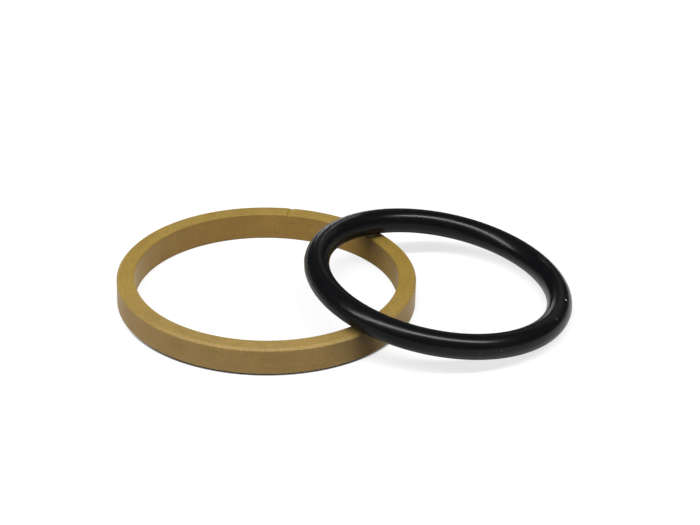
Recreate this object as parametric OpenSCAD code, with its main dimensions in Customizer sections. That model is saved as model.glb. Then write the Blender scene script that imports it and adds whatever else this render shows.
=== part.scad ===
// Two-piece piston seal: a rectangular slide ring lies flat and its O-ring leans on the slide ring's edge.
// Millimetres. The origin is the middle of the slide ring, on its axis, and both pieces stand on z = -ring_h / 2.

/* [Slide ring] */
// Outside diameter of the slide ring, which is the bore that it seals
ring_od = 42; // [34:0.5:56]
// Radial wall of the slide ring
ring_wall = 2.5; // [1.6:0.1:3.5]
// Height of the slide ring along its axis
ring_h = 4; // [3:0.1:6]
// Chamfer of the two outer edges, beside the sealing face
lip_chamfer = 0.3; // [0.1:0.05:0.7]
// Chamfer that breaks the two edges of the hole
hole_chamfer = 0.12; // [0.05:0.01:0.4]

/* [Notch] */
// Width of the radial notch, where it meets the top face
notch_w = 0.9; // [0.4:0.1:2]
// Depth of the notch at its middle
notch_depth = 0.22; // [0.1:0.01:0.4]
// Direction of the notch, anticlockwise from +X
notch_angle = 82; // [50:1:300]

/* [O-ring] */
// Inside diameter of the O-ring
oring_id = 31; // [26:0.5:42]
// Diameter of the O-ring's round section
oring_section = 3.53; // [2.4:0.01:5.4]

/* [Lie of the O-ring] */
// How far the O-ring reaches in over the slide ring, from the slide ring's outer wall
lap = 15.9; // [10:0.1:22]
// Direction in which the O-ring lies and leans, anticlockwise from +X
lie_angle = -3.7; // [-40:0.1:40]
// Air between the O-ring and the edge that carries it
seat_gap = 0.03; // [0.01:0.01:0.1]

/* [Hidden] */

ring_facets = 240;
cord_facets = 192;
section_facets = 48;

ring_r = ring_od / 2;
hole_r = ring_r - ring_wall;
floor_z = -ring_h / 2;
section_r = oring_section / 2;
cord_r = oring_id / 2 + section_r;

// The notch's floor is an arc through its two edges and its deepest point
notch_r = (pow(notch_w / 2, 2) + pow(notch_depth, 2)) / (2 * notch_depth);
notch_overrun = 1;

// Centre of the O-ring, out from the slide ring's axis
lie_offset = ring_r + cord_r + section_r - lap;
steepest_lean = 40;
lean_tolerance = 0.001;
contact_step = 0.5;

// Half-plane outline of the slide ring, anticlockwise: radius and height above its middle
RING_SECTION = [
    [hole_r, floor_z + hole_chamfer],
    [hole_r + hole_chamfer, floor_z],
    [ring_r - lip_chamfer, floor_z],
    [ring_r, floor_z + lip_chamfer],
    [ring_r, -floor_z - lip_chamfer],
    [ring_r - lip_chamfer, -floor_z],
    [hole_r + hole_chamfer, -floor_z],
    [hole_r, -floor_z - hole_chamfer]
];
LAST = len(RING_SECTION) - 1;

// Distance from point p to the straight stretch from a to b
function stretch_gap(p, a, b) =
    let (
        along = (b - a) / norm(b - a),
        reach = min(max((p - a) * along, 0), norm(b - a))
    )
    norm(p - a - reach * along);

// Whether p lies inside the slide ring's section, which is convex
function inside_ring(p) =
    min([for (i = [0:LAST])
        let (a = RING_SECTION[i], b = RING_SECTION[(i + 1) % len(RING_SECTION)])
        cross(b - a, p - a)]) >= 0;

// Distance from p to the slide ring's section, 0 inside it
function ring_gap(p) =
    inside_ring(p) ? 0 : min([for (i = [0:LAST])
        stretch_gap(p, RING_SECTION[i], RING_SECTION[(i + 1) % len(RING_SECTION)])]);

// Height of the O-ring's centre when its low side touches the floor
function centre_z(lean) = floor_z + section_r + cord_r * sin(lean);

// Point of the O-ring's centre circle, as radius and height: turn 0 is its low side
function cord_point(lean, turn) = [
    norm([lie_offset + cord_r * cos(turn) * cos(lean), cord_r * sin(turn)]),
    centre_z(lean) - cord_r * cos(turn) * sin(lean)
];

// Narrowest air between the two pieces: both halves of the O-ring are alike
function air(lean) =
    min([for (turn = [0:contact_step:180]) ring_gap(cord_point(lean, turn))]) - section_r;

// The least lean that leaves seat_gap, halving the span from low to high
function seated_lean(low, high) =
    let (middle = (low + high) / 2)
    high - low < lean_tolerance ? high
    : air(middle) < seat_gap ? seated_lean(middle, high)
    : seated_lean(low, middle);

oring_lean = seated_lean(0, steepest_lean);

// Round-bottomed groove across the top face, open at both ends
module notch() {
    rotate([0, 0, notch_angle])
        translate([hole_r - notch_overrun, 0, -floor_z - notch_depth + notch_r])
            rotate([0, 90, 0])
                cylinder(r = notch_r, h = ring_wall + 2 * notch_overrun, $fn = section_facets);
}

// Turned ring with a flat sealing face, chamfered edges and one pressure notch
module slide_ring() {
    color([0.62, 0.5, 0.29])
        difference() {
            rotate_extrude($fn = ring_facets)
                polygon(RING_SECTION);
            notch();
        }
}

// Round cord ring: its low side is on the floor, and it leans on the slide ring at two places
module o_ring() {
    color([0.1, 0.1, 0.11])
        rotate([0, 0, lie_angle])
            translate([lie_offset, 0, centre_z(oring_lean)])
                rotate([0, oring_lean, 0])
                    rotate_extrude($fn = cord_facets)
                        translate([cord_r, 0])
                            circle(r = section_r, $fn = section_facets);
}

slide_ring();
o_ring();
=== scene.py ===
import math

import bmesh
import bpy
from mathutils import Matrix, Vector, noise


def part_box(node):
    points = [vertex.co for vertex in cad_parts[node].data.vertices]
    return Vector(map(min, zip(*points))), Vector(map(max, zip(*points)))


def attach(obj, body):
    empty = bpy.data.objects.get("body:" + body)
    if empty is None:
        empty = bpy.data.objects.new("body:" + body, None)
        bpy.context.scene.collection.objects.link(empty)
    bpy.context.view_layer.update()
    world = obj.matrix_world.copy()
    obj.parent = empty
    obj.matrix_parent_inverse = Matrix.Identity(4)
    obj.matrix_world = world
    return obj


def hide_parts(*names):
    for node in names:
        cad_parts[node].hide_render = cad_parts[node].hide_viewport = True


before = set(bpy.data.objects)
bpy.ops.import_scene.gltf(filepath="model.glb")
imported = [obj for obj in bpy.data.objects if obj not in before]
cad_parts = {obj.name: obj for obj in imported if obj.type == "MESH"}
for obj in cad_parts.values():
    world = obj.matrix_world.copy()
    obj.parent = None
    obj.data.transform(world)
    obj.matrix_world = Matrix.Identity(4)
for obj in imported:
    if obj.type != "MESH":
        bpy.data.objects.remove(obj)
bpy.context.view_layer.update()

# Looks of a two-piece piston seal: a turned slide ring of bronze-filled plastic lies flat, and its rubber O-ring leans on it.
# Lengths are in metres, in the frame's own axes. MM turns millimetres into metres.
MM = 0.001

# Camera, found from the outlines of both pieces: where it stands, and how it is turned
EYE = Vector((11.66, -296.2, 162.9)) * MM
LOOK_DOWN = math.radians(28.19)
ROLL = math.radians(1.3)
FOCAL_PIXELS = 2400
PHOTO_WIDTH = 700
SENSOR = 36.0

# Slide ring: the sizes that its bounding box and its hole don't give
LIP_CHAMFER = 0.3 * MM
HOLE_CHAMFER = 0.12 * MM
NOTCH_WIDTH = 0.9 * MM
NOTCH_DEPTH = 0.22 * MM
NOTCH_ANGLE = math.radians(82)
CORNER_ROUND = 0.04 * MM
NICK_ANGLE = math.radians(236.6)

# O-ring: the moulding line round its outside and its inside
FLASH_HEIGHT = 0.03 * MM
FLASH_WIDTH = 0.11 * MM

# Pale patches painted on the O-ring in place of highlights, rougher there too, in degrees: from and to round the ring,
# place and reach round its section; and how pale
GLINT_STREAKS = [(140, 157, 91, 9, 1.0), (157, 171, 90, 8, 0.45), (28, 31, 103, 6, 0.45)]
# Grains of dust on the O-ring: degrees round the ring and round its section, radius, and how pale
GRAINS = [(-5.1, 69.6, 0.21 * MM, 1.0), (-23.8, 62.2, 0.26 * MM, 0.12)]


def straight(a, b, count):
    """Points from a up to b, without b."""
    return [tuple(a[k] + (b[k] - a[k]) * i / count for k in range(2)) for i in range(count)]


def rounded(corners, radius, steps, spans):
    """A closed outline with every corner rounded, and each stretch between corners cut into its number of spans."""
    points = []
    total = len(corners)
    trims = []
    for i, corner in enumerate(corners):
        before = Vector(corners[i - 1]) - Vector(corner)
        after = Vector(corners[(i + 1) % total]) - Vector(corner)
        half = before.angle(after) / 2
        trim = min(radius / math.tan(half), 0.45 * min(before.length, after.length))
        trims.append((Vector(corner), before.normalized(), after.normalized(), trim))
    for i, (corner, before, after, trim) in enumerate(trims):
        start = corner + before * trim
        end = corner + after * trim
        for k in range(steps):
            t = k / steps
            points.append(tuple((1 - t) ** 2 * start + 2 * t * (1 - t) * corner + t * t * end))
        following = trims[(i + 1) % total]
        points += straight(end, following[0] + following[1] * following[3], spans[i])
    return points


def steps_round(count, fine_at):
    """Angles once round a ring: even steps, with finer ones near each (angle, half width, step) in fine_at."""
    angles = []
    for i in range(count):
        angle = 2 * math.pi * i / count
        if all(abs(angle - at) > reach for at, reach, _ in fine_at):
            angles.append(angle)
    for at, reach, step in fine_at:
        half = round(reach / step)
        angles += [at + k * step for k in range(-half, half + 1)]
    return sorted(angles)


def swept_mesh(name, rings):
    """A closed mesh from closed loops of points, each joined to the next and the last to the first."""
    mesh = bmesh.new()
    rows = [[mesh.verts.new(p) for p in ring] for ring in rings]
    for i, row in enumerate(rows):
        following = rows[(i + 1) % len(rows)]
        for j in range(len(row)):
            k = (j + 1) % len(row)
            mesh.faces.new((row[j], following[j], following[k], row[k]))
    bmesh.ops.recalc_face_normals(mesh, faces=mesh.faces)
    data = bpy.data.meshes.new(name)
    mesh.to_mesh(data)
    mesh.free()
    data.shade_smooth()
    piece = bpy.data.objects.new(name, data)
    bpy.context.scene.collection.objects.link(piece)
    return piece


def notch_floor(across, top):
    """Height of the notch's round floor at a distance from its middle line."""
    curve = ((NOTCH_WIDTH / 2) ** 2 + NOTCH_DEPTH ** 2) / (2 * NOTCH_DEPTH)
    if abs(across) >= curve:
        return top + curve
    return top - NOTCH_DEPTH + curve - math.sqrt(curve ** 2 - across ** 2)


def slide_ring_point(radius, height, angle, top):
    """One point of the slide ring, with the notch, the nick and the slight waver of its edges."""
    squeeze = 0.04
    away = angle - NOTCH_ANGLE
    if math.cos(away) > 0:
        floor = notch_floor(radius * math.sin(away), top)
        if height > floor:
            height = floor + squeeze * (height - floor)
    nick_reach = 0.16 * MM
    off_nick = abs(angle - NICK_ANGLE) * radius
    on_lip = 1 if radius > outer_radius - LIP_CHAMFER * 1.2 and height > top - LIP_CHAMFER * 1.2 else 0
    radius -= on_lip * 0.07 * MM * max(0, 1 - off_nick / nick_reach)
    radius *= 1 + 0.00012 * noise.noise(Vector((math.cos(angle), math.sin(angle), height * 90)) * 7)
    return Vector((radius * math.cos(angle), radius * math.sin(angle), height))


def make_slide_ring():
    """The slide ring, turned from its section, with rounded corners, its notch and its nick."""
    low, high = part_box("slide_ring")
    corners = [
        (hole_radius, low.z + HOLE_CHAMFER),
        (hole_radius + HOLE_CHAMFER, low.z),
        (outer_radius - LIP_CHAMFER, low.z),
        (outer_radius, low.z + LIP_CHAMFER),
        (outer_radius, high.z - LIP_CHAMFER),
        (outer_radius - LIP_CHAMFER, high.z),
        (hole_radius + HOLE_CHAMFER, high.z),
        (hole_radius, high.z - HOLE_CHAMFER),
    ]
    spans = [1, 10, 4, 12, 4, 14, 1, 12]
    outline = rounded(corners, CORNER_ROUND, 4, spans)
    fine = [
        (NOTCH_ANGLE, math.radians(1.9), math.radians(0.07)),
        (NICK_ANGLE, math.radians(0.7), math.radians(0.1)),
    ]
    angles = steps_round(480, fine)
    rings = [[slide_ring_point(r, z, angle, high.z) for r, z in outline] for angle in angles]
    return swept_mesh("slide_ring_turned", rings)


def flash(turn, section_angle):
    """How far the moulding line stands out at a place on the O-ring: it runs along the outside and the inside."""
    off = min(abs(math.sin(section_angle)) * cord_radius, cord_radius)
    ridge = math.exp(-((off / (FLASH_WIDTH / 2)) ** 2))
    rag = 0.65 + 0.5 * noise.noise(Vector((math.cos(turn) * 9, math.sin(turn) * 9, math.cos(section_angle))))
    return FLASH_HEIGHT * ridge * max(rag, 0.1)


def make_o_ring():
    """The O-ring, moulded round, with the fine line that its mould's halves leave."""
    fine = [
        (0.0, math.radians(5), math.radians(0.7)),
        (math.pi, math.radians(5), math.radians(0.7)),
    ]
    around = steps_round(66, fine)
    rings = []
    for i in range(420):
        turn = 2 * math.pi * i / 420
        out = Vector((math.cos(turn), math.sin(turn), 0))
        ring = []
        for s in around:
            reach = cord_radius + flash(turn, s)
            ring.append(out * (ring_radius + reach * math.cos(s)) + Vector((0, 0, reach * math.sin(s))))
        rings.append(ring)
    piece = swept_mesh("o_ring_moulded", rings)
    piece.data.transform(Matrix.Translation(ring_centre) @ ring_lie.to_4x4())
    return piece


def o_ring_point(turn, section):
    """The place in the frame of a point on the O-ring, by its angles round the ring and round the section."""
    reach = ring_radius + cord_radius * math.cos(section)
    own = Vector((reach * math.cos(turn), reach * math.sin(turn), cord_radius * math.sin(section)))
    return ring_centre + ring_lie @ own


class Shader:
    """A material's nodes, made and joined by name."""

    def __init__(self, name):
        self.material = bpy.data.materials.new(name)
        self.material.use_nodes = True
        self.nodes = self.material.node_tree.nodes
        self.links = self.material.node_tree.links
        self.surface = self.nodes["Principled BSDF"]

    def node(self, kind, inputs=None, **settings):
        """A node of a kind, with its settings, and its sockets set or linked."""
        made = self.nodes.new("ShaderNode" + kind)
        for key, value in settings.items():
            setattr(made, key, value)
        for key, value in (inputs or {}).items():
            self.put(made.inputs[key], value)
        return made

    def put(self, socket, value):
        """Sets a socket to a value, or links it to another node's output."""
        if isinstance(value, bpy.types.NodeSocket):
            self.links.new(value, socket)
        else:
            socket.default_value = value

    def math(self, operation, a, b=0.0, clamp=False):
        return self.node("Math", {0: a, 1: b}, operation=operation, use_clamp=clamp).outputs[0]

    def hypotenuse(self, a, b):
        return self.math("SQRT", self.math("ADD", self.math("MULTIPLY", a, a), self.math("MULTIPLY", b, b)))

    def noise(self, vector, scale, detail=2.0, w=None, roughness=0.5):
        made = self.node("TexNoise", {"Vector": vector, "Scale": scale, "Detail": detail, "Roughness": roughness})
        if w is not None:
            made.noise_dimensions = "4D"
            self.put(made.inputs["W"], w)
        return made.outputs["Fac"]

    def band(self, value, low, high, to_low=0.0, to_high=1.0):
        """Maps a value from one range to another, held at both ends."""
        sockets = {"Value": value, "From Min": low, "From Max": high, "To Min": to_low, "To Max": to_high}
        return self.node("MapRange", sockets).outputs["Result"]

    def mix(self, share, a, b, blend="MIX"):
        made = self.node("Mix", data_type="RGBA", blend_type=blend)
        for key, value in (("Factor_Float", share), ("A_Color", a), ("B_Color", b)):
            self.put(next(s for s in made.inputs if s.identifier == key), value)
        return next(s for s in made.outputs if s.identifier == "Result_Color")

    def bump(self, height, distance, strength=1.0, normal=None):
        sockets = {"Height": height, "Distance": distance, "Strength": strength}
        if normal is not None:
            sockets["Normal"] = normal
        return self.node("Bump", sockets).outputs["Normal"]


def o_ring_axes(s, place):
    """A place in the frame by the O-ring's own axes, with Z along its axis."""
    sockets = {"Vector": place, "Location": ring_centre, "Rotation": ring_lie.to_euler()}
    return s.node("SeparateXYZ", {0: s.node("Mapping", sockets, vector_type="TEXTURE").outputs[0]}).outputs


def bronze_filled_plastic():
    """Turned ochre plastic full of bronze powder: tool marks round it, a fine fleck, rubbed edges, and painted sheen,
    bounce light and shade.
    """
    s = Shader("bronze_filled_ptfe")
    place = s.node("TexCoord").outputs["Object"]
    axes = s.node("SeparateXYZ", {0: place})
    x, y, z = axes.outputs
    radius = s.hypotenuse(x, y)
    # The tool's marks change fast along the section and slowly round the ring
    per_metre = 5200.0
    unit_x = s.math("MULTIPLY", s.math("DIVIDE", x, radius), 1.4)
    unit_y = s.math("MULTIPLY", s.math("DIVIDE", y, radius), 1.4)
    marks_at = s.node("CombineXYZ", {0: s.math("MULTIPLY", radius, per_metre), 1: unit_x, 2: unit_y}).outputs[0]
    marks = s.noise(marks_at, 1.0, 3.0, w=s.math("MULTIPLY", z, per_metre), roughness=0.6)
    cloud = s.noise(place, 260.0, 3.0)
    fleck = s.noise(place, 9000.0, 1.0)
    grain = s.noise(place, 4200.0, 2.0)

    dark = (0.172, 0.108, 0.021, 1)
    light = (0.206, 0.134, 0.030, 1)
    colour = s.mix(s.band(cloud, 0.3, 0.7), dark, light)
    colour = s.mix(s.band(marks, 0.35, 0.65, 0.0, 0.35), colour, (0.24, 0.16, 0.046, 1))
    colour = s.mix(s.band(fleck, 0.62, 0.72, 0.0, 0.4), colour, (0.30, 0.20, 0.065, 1))
    colour = s.mix(s.band(fleck, 0.36, 0.28, 0.0, 0.35), colour, (0.11, 0.065, 0.02, 1))
    # The turned walls differ a little in colour from the faces, as painted light: the inner wall is lighter and warmer,
    # a painted bounce of light in the ring, and the outer one is greyer, a painted sheen, the most at its left
    facing = s.node("SeparateXYZ", {0: s.node("NewGeometry").outputs["True Normal"]}).outputs["Z"]
    on_wall = s.band(s.math("ABSOLUTE", facing), 0.5, 0.1)
    outward = s.band(radius, hole_radius, outer_radius)
    painted_outer_sheen = s.mix(s.band(x, -15 * MM, 3 * MM), (0.99, 0.96, 1.28, 1), (0.93, 0.90, 1.12, 1))
    painted_wall_light = s.mix(outward, (1.08, 0.98, 0.90, 1), painted_outer_sheen)
    colour = s.mix(on_wall, colour, painted_wall_light, blend="MULTIPLY")
    # The faces turn a little yellower from the front to the back: a painted sheen, greyer and lighter at the front
    painted_face_sheen = s.mix(s.band(y, -17 * MM, -3 * MM), (1.0, 1.02, 1.12, 1), (0.95, 0.935, 0.59, 1))
    colour = s.mix(s.math("SUBTRACT", 1.0, on_wall), colour, painted_face_sheen, blend="MULTIPLY")
    # The grain's pits are darker, and the walls are smoother than the faces
    pitted = s.mix(s.band(grain, 0.32, 0.68), (0.83, 0.83, 0.83, 1), (1.17, 1.17, 1.17, 1))
    colour = s.mix(s.band(on_wall, 0.0, 1.0, 1.0, 0.55), colour, pitted, blend="MULTIPLY")
    # Shade gathers where the O-ring comes close, more on the walls than on the faces
    ring_x, ring_y, ring_z = o_ring_axes(s, place)
    from_cord = s.hypotenuse(s.math("SUBTRACT", s.hypotenuse(ring_x, ring_y), ring_radius), ring_z)
    close = s.band(from_cord, cord_radius + 5.5 * MM, cord_radius + 0.1 * MM)
    close = s.math("POWER", close, s.band(on_wall, 0.0, 1.0, 2.5, 1.0))
    shade = s.math("MULTIPLY", close, s.band(on_wall, 0.0, 1.0, 0.30, 0.48))
    colour = s.mix(shade, colour, (0, 0, 0, 1))
    rubbed = s.node("Attribute", attribute_name="rubbed").outputs["Fac"]
    colour = s.mix(s.math("MULTIPLY", rubbed, 0.12), colour, (0.30, 0.21, 0.07, 1))
    s.put(s.surface.inputs["Base Color"], colour)

    rough = s.band(marks, 0.3, 0.7, 0.56, 0.68)
    s.put(s.surface.inputs["Roughness"], s.math("SUBTRACT", rough, s.math("MULTIPLY", rubbed, 0.05)))
    s.surface.inputs["IOR"].default_value = 1.35
    s.surface.inputs["Sheen Weight"].default_value = 0.25
    s.surface.inputs["Sheen Roughness"].default_value = 0.35
    s.surface.inputs["Sheen Tint"].default_value = (1.0, 0.90, 0.68, 1)
    fine = s.bump(grain, 0.006 * MM)
    s.put(s.surface.inputs["Normal"], s.bump(marks, 0.012 * MM, normal=fine))
    return s.material


def between(s, value, low, high, soft):
    """1 where a value lies between two others, falling to 0 over a soft stretch outside them."""
    rise = s.band(value, low - soft, low)
    return s.math("MULTIPLY", rise, s.band(value, high + soft, high))


def black_rubber():
    """Moulded black rubber: satin, with a fine skin, faint streaks along the cord, pale patches painted in place of
    highlights, and grains of dust.
    """
    s = Shader("nitrile_rubber")
    place = s.node("TexCoord").outputs["Object"]
    x, y, z = o_ring_axes(s, place)
    radius = s.hypotenuse(x, y)
    across = s.math("SUBTRACT", radius, ring_radius)
    turn = s.math("ARCTAN2", y, x)
    section = s.math("ARCTAN2", z, across)
    # Streaks change fast across the cord and slowly along it
    per_metre, per_turn = 5000.0, 9.0
    streaks_at = s.node("CombineXYZ", {
        0: s.math("MULTIPLY", across, per_metre),
        1: s.math("MULTIPLY", z, per_metre),
        2: s.math("MULTIPLY", s.math("DIVIDE", x, radius), per_turn),
    }).outputs[0]
    along = s.math("MULTIPLY", s.math("DIVIDE", y, radius), per_turn)
    streaks = s.noise(streaks_at, 1.0, 2.0, w=along)
    cloud = s.noise(place, 180.0, 3.0)
    skin = s.noise(place, 5200.0, 2.0)
    swell = s.noise(place, 620.0, 2.0)
    dust = s.node("TexVoronoi", {"Vector": place, "Scale": 620.0}).outputs["Distance"]

    colour = s.mix(s.band(cloud, 0.35, 0.75), (0.0024, 0.0026, 0.0030, 1), (0.0040, 0.0041, 0.0045, 1))
    colour = s.mix(s.band(streaks, 0.5, 0.8, 0.0, 0.4), colour, (0.007, 0.007, 0.008, 1))
    speck = s.math("MULTIPLY", s.band(dust, 0.08, 0.04), s.band(cloud, 0.5, 0.6))
    colour = s.mix(s.math("MULTIPLY", speck, 0.4), colour, (0.09, 0.09, 0.085, 1))
    # Pale patches painted in place of highlights, broken up by the streaks, and rougher too
    painted_glint = 0.0
    for low, high, middle, reach, pale in GLINT_STREAKS:
        low, high, middle, reach = (math.radians(a) for a in (low, high, middle, reach))
        off = s.math("ABSOLUTE", s.math("SUBTRACT", section, middle))
        patch = s.math("MULTIPLY", between(s, turn, low, high, math.radians(6)), s.band(off, reach, 0.0, 0.0, pale))
        painted_glint = s.math("MAXIMUM", painted_glint, s.math("MULTIPLY", patch, s.band(streaks, 0.3, 0.6, 0.35, 1.0)))
    colour = s.mix(painted_glint, colour, (0.052, 0.053, 0.050, 1))
    for turn_at, section_at, reach, pale in GRAINS:
        grain_at = o_ring_point(math.radians(turn_at), math.radians(section_at))
        gap = s.node("VectorMath", {0: place, 1: grain_at}, operation="DISTANCE").outputs["Value"]
        colour = s.mix(s.band(gap, reach, reach * 0.5, 0.0, pale), colour, (0.24, 0.24, 0.22, 1))
    s.put(s.surface.inputs["Base Color"], colour)
    rough = s.math("ADD", s.band(swell, 0.3, 0.7, 0.21, 0.27), s.math("MULTIPLY", painted_glint, 0.15))
    s.put(s.surface.inputs["Roughness"], rough)
    s.surface.inputs["IOR"].default_value = 1.26
    fine = s.bump(skin, 0.0009 * MM)
    s.put(s.surface.inputs["Normal"], s.bump(swell, 0.003 * MM, normal=fine))
    return s.material


def pale_floor():
    """The plain pale floor that the camera sees: an even glow softens its shadows, and a painted shade keeps the
    contact dark.
    """
    s = Shader("pale_floor")
    x, y, _ = s.node("SeparateXYZ", {0: s.node("TexCoord").outputs["Object"]}).outputs
    radius = s.hypotenuse(x, y)
    # Painted contact shade: close to the slide ring's outer edge, at its front and back, occlusion darkens the floor's
    # colour and its glow
    open_sky = s.node("AmbientOcclusion", {"Distance": 0.32 * MM}, samples=8).outputs["AO"]
    outside = s.band(radius, outer_radius - 1.0 * MM, outer_radius - 0.6 * MM)
    ahead = s.band(s.math("ABSOLUTE", s.math("DIVIDE", y, radius)), 0.4, 0.85)
    shaded = s.math("MULTIPLY", s.math("MULTIPLY", outside, ahead), s.math("SUBTRACT", 1.0, open_sky))
    clear = s.math("SUBTRACT", 1.0, shaded)
    clear = s.math("POWER", clear, 3.0)
    s.put(s.surface.inputs["Base Color"], s.mix(clear, (0, 0, 0, 1), (0.20, 0.20, 0.20, 1)))
    s.put(s.surface.inputs["Emission Strength"], s.math("MULTIPLY", clear, 0.74))
    s.surface.inputs["Emission Color"].default_value = (1, 1, 1, 1)
    s.surface.inputs["Roughness"].default_value = 0.9
    s.surface.inputs["Specular IOR Level"].default_value = 0.1
    # From below the floor is clear, so the underside of both pieces can be seen
    below = s.node("NewGeometry").outputs["Backfacing"]
    one_sided = s.node("MixShader", {0: below, 1: s.surface.outputs[0], 2: s.node("BsdfTransparent").outputs[0]})
    s.links.new(one_sided.outputs[0], s.nodes["Material Output"].inputs["Surface"])
    return s.material


def ground_cloth():
    """The matt surface whose light reaches the underside of both pieces: in the slide ring, it darkens from left to right."""
    s = Shader("ground_cloth")
    x, y, _ = s.node("SeparateXYZ", {0: s.node("TexCoord").outputs["Object"]}).outputs
    radius = s.hypotenuse(x, y)
    inside = s.band(radius, hole_radius, hole_radius - 0.5 * MM)
    within = s.mix(s.band(x, -14 * MM, 14 * MM), (0.66, 0.66, 0.66, 1), (0.16, 0.16, 0.16, 1))
    beyond = s.mix(s.band(x, 16 * MM, 24 * MM), (0.43, 0.43, 0.43, 1), (0.60, 0.60, 0.60, 1))
    s.put(s.surface.inputs["Base Color"], s.mix(inside, beyond, within))
    s.surface.inputs["Roughness"].default_value = 0.9
    s.surface.inputs["Specular IOR Level"].default_value = 0.1
    return s.material


def white_backdrop():
    """An even white, without shade."""
    s = Shader("white_backdrop")
    s.surface.inputs["Base Color"].default_value = (0, 0, 0, 1)
    s.surface.inputs["Specular IOR Level"].default_value = 0
    s.surface.inputs["Emission Color"].default_value = (1, 1, 1, 1)
    s.surface.inputs["Emission Strength"].default_value = 1
    return s.material


def mark_rubbed_edges(piece, top, bottom):
    """A share from 0 to 1 at each point of the slide ring: how near it is to an edge that handling rubs."""
    attribute = piece.data.attributes.new("rubbed", "FLOAT", "POINT")
    shares = []
    for v in piece.data.vertices:
        radius = math.hypot(v.co.x, v.co.y)
        from_edge = max(outer_radius - radius, 0) + min(abs(top - v.co.z), abs(v.co.z - bottom))
        shares.append(1.0 if from_edge < LIP_CHAMFER * 1.12 else 0.0)
    attribute.data.foreach_set("value", shares)


def area_light(name, place, turn, size, radiance, shows_in_gloss=True):
    """A soft rectangular light of a given brightness per area: it faces down until turned."""
    data = bpy.data.lights.new(name, "AREA")
    data.shape = "RECTANGLE"
    data.size, data.size_y = size
    data.energy = radiance * math.pi * size[0] * size[1]
    light = bpy.data.objects.new(name, data)
    bpy.context.scene.collection.objects.link(light)
    light.location = place
    light.rotation_euler = turn
    light.visible_glossy = shows_in_gloss


def stage_object(name, mesh, material):
    """A floor or backdrop from a finished bmesh."""
    data = bpy.data.meshes.new(name)
    mesh.to_mesh(data)
    mesh.free()
    data.materials.append(material)
    made = bpy.data.objects.new(name, data)
    bpy.context.scene.collection.objects.link(made)
    return made


def disc(name, material, height):
    """A round level surface under the object."""
    mesh = bmesh.new()
    bmesh.ops.create_circle(mesh, cap_ends=True, segments=96, radius=0.38)
    made = stage_object(name, mesh, material)
    made.location.z = height
    return made


def toward_origin(azimuth, elevation, distance):
    """A place in a direction from the origin, and the turn that makes a light there face the origin."""
    level = math.cos(math.radians(elevation))
    place = distance * Vector((
        level * math.cos(math.radians(azimuth)),
        level * math.sin(math.radians(azimuth)),
        math.sin(math.radians(elevation)),
    ))
    return place, (-place).to_track_quat("-Z", "Y").to_euler()


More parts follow.
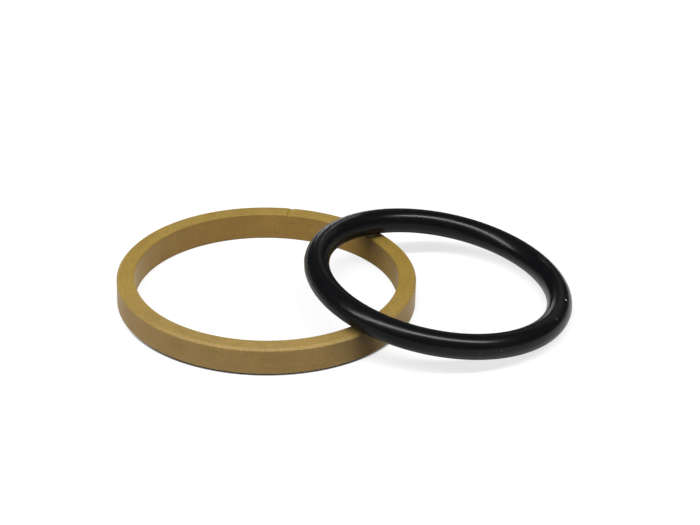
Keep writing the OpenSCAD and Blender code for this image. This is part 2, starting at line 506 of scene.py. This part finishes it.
def make_stage(height):
    """Floor, backdrop, lights and the dim room round them."""
    # The floor catches the shadows, and the darker ground just under it is what the pieces are lit by
    floor = disc("floor", pale_floor(), height - 0.005 * MM)
    floor.visible_diffuse = floor.visible_glossy = False
    floor.visible_transmission = floor.visible_shadow = False
    ground = disc("ground", ground_cloth(), height - 0.01 * MM)
    ground.visible_camera = False

    # The backdrop is white behind the object, and neither lights it nor shows in its gloss
    mesh = bmesh.new()
    bmesh.ops.create_uvsphere(mesh, u_segments=48, v_segments=24, radius=2.4)
    backdrop = stage_object("backdrop", mesh, white_backdrop())
    backdrop.visible_diffuse = backdrop.visible_glossy = False
    backdrop.visible_transmission = backdrop.visible_shadow = False

    area_light("overhead_strip", (-0.40, -0.40, 1.2), (0, 0, math.radians(9)), (2.8, 0.24), 22.9)
    for name, azimuth, elevation, size, radiance, shows_in_gloss in (
        ("low_window", 96, 8.2, (0.24, 0.09), 4.6, True),
        ("far_strip", 65, 27.5, (0.70, 0.05), 1.1, True),
        ("back_fill", 100, 12, (0.6, 0.3), 3.0, False),
        ("left_fill", 219, 12, (0.6, 0.3), 5.6, False),
        ("right_fill", 335, 12, (0.6, 0.3), 6.0, False),
    ):
        place, turn = toward_origin(azimuth, elevation, 1.0)
        area_light(name, place, turn, size, radiance, shows_in_gloss)

    world = bpy.data.worlds.new("dim_room")
    world.use_nodes = True
    world.node_tree.nodes["Background"].inputs["Color"].default_value = (1, 1, 1, 1)
    world.node_tree.nodes["Background"].inputs["Strength"].default_value = 0.03
    bpy.context.scene.world = world


def make_camera():
    """The camera at the photograph's place, with its roll and focal length."""
    data = bpy.data.cameras.new("camera")
    data.sensor_width = SENSOR
    data.lens = FOCAL_PIXELS / PHOTO_WIDTH * SENSOR
    data.clip_start = 0.01
    data.clip_end = 10
    camera = bpy.data.objects.new("camera", data)
    bpy.context.scene.collection.objects.link(camera)
    turn = Matrix.Rotation(math.pi / 2 - LOOK_DOWN, 4, "X") @ Matrix.Rotation(ROLL, 4, "Z")
    camera.matrix_world = Matrix.Translation(EYE) @ turn
    bpy.context.scene.camera = camera


# Sizes that the frame gives
ring_low, ring_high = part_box("slide_ring")
ring_spans = [math.hypot(v.co.x, v.co.y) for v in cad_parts["slide_ring"].data.vertices]
outer_radius, hole_radius = max(ring_spans), min(ring_spans)

cord_low, cord_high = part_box("o_ring")
ring_centre = (cord_low + cord_high) / 2
cord_spans = [(v.co - ring_centre).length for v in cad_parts["o_ring"].data.vertices]
ring_radius = (max(cord_spans) + min(cord_spans)) / 2
cord_radius = (max(cord_spans) - min(cord_spans)) / 2
ring_lean = math.asin(((cord_high.z - cord_low.z) / 2 - cord_radius) / ring_radius)
ring_heading = math.atan2(ring_centre.y, ring_centre.x)
ring_lie = Matrix.Rotation(ring_heading, 3, "Z") @ Matrix.Rotation(ring_lean, 3, "Y")

make_camera()
make_stage(ring_low.z)

slide_ring = make_slide_ring()
mark_rubbed_edges(slide_ring, ring_high.z, ring_low.z)
plastic = bronze_filled_plastic()
slide_ring.data.materials.append(plastic)
o_ring = make_o_ring()
rubber = black_rubber()
o_ring.data.materials.append(rubber)

for piece, node, material_slot in (
    (slide_ring, "slide_ring", "bronze_filled_ptfe"),
    (o_ring, "o_ring", "nitrile_rubber"),
):
    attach(piece, "root")
    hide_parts(node)

for node, material in (("slide_ring", plastic), ("o_ring", rubber)):
    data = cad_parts[node].data
    data.materials.clear()
    data.materials.append(material)

bpy.context.scene.view_settings.view_transform = "Standard"
